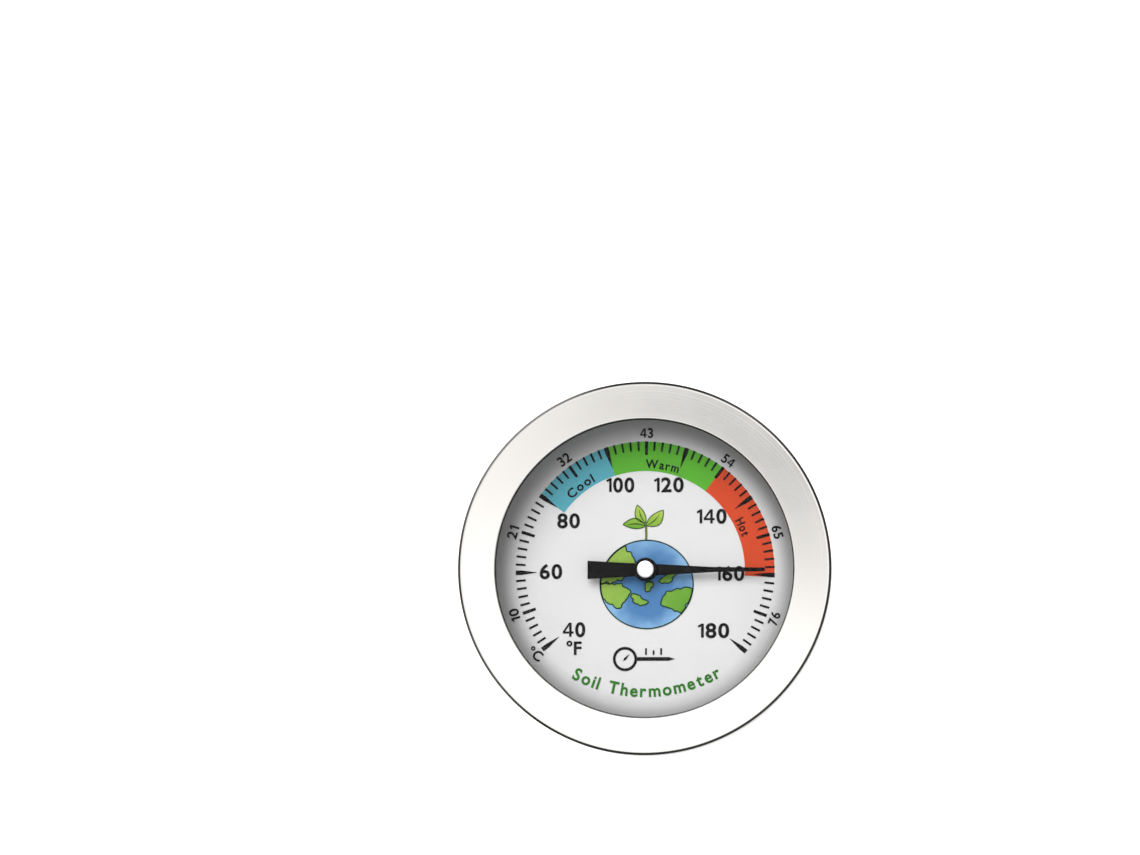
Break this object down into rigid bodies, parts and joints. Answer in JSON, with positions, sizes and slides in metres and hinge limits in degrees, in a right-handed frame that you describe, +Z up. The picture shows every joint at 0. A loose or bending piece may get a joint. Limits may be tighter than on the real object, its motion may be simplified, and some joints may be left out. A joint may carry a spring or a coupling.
{
  "type": "soil thermometer probe",
  "caption": "Bimetal dial thermometer with a round glazed head on a long pointed steel stem, for reading the temperature inside soil or a compost heap.",
  "frame": {"origin": "the point of the stem's tip, on the stem's axis", "axes": "+Z up the stem from the point to the dial's glass, +Y towards the top of the dial, +X towards its three o'clock, where the pointer rests"},
  "size_m": [0.0612, 0.0612, 0.5255],
  "materials": {
    "polished_steel": "satin-polished stainless steel",
    "brushed_steel": "drawn and brushed stainless steel",
    "spring_steel": "bare spring steel",
    "bimetal": "rolled bimetal strip",
    "brass": "turned brass",
    "aluminium": "bright aluminium",
    "glass": "clear flat glass",
    "white_enamel": "satin white enamel with printed scale",
    "black_paint": "satin black paint",
    "rubber": "moulded black rubber",
    "nylon": "natural nylon"
  },
  "bodies": {
    "probe": {"stem_tube": "brushed_steel", "tip_plug": "brushed_steel", "coil_anchor": "brass", "bimetal_coil": "bimetal", "shaft_guide_1": "nylon", "shaft_guide_2": "nylon", "shaft_guide_3": "nylon", "shaft_guide_4": "nylon", "top_bearing": "brass", "stem_bushing": "brushed_steel", "wave_washer": "spring_steel", "neck_seal": "rubber", "calibration_nut": "polished_steel"},
    "head": {"case_shell": "brushed_steel", "dial_plate": "white_enamel", "spacer_ring": "aluminium", "lens": "glass", "lens_gasket": "rubber", "bezel": "polished_steel"},
    "pointer_assembly": {"pointer_shaft": "spring_steel", "coil_collar": "brass", "pointer": "black_paint", "pointer_hub": "black_paint", "pointer_cap": "aluminium"}
  },
  "joints": [
    {"name": "pointer_turn", "type": "hinge", "parent": "probe", "child": "pointer_assembly", "pos_m": [0, 0, 0.5194], "axis": [0, 0, 1], "range_deg": [-38.9, 218.9], "stiffness_Nm_per_rad": 0.0015, "deforming": ["bimetal_coil"]},
    {"name": "calibration_turn", "type": "hinge", "parent": "probe", "child": "head", "pos_m": [0, 0, 0.5111], "axis": [0, 0, 1], "continuous": true}
  ]
}
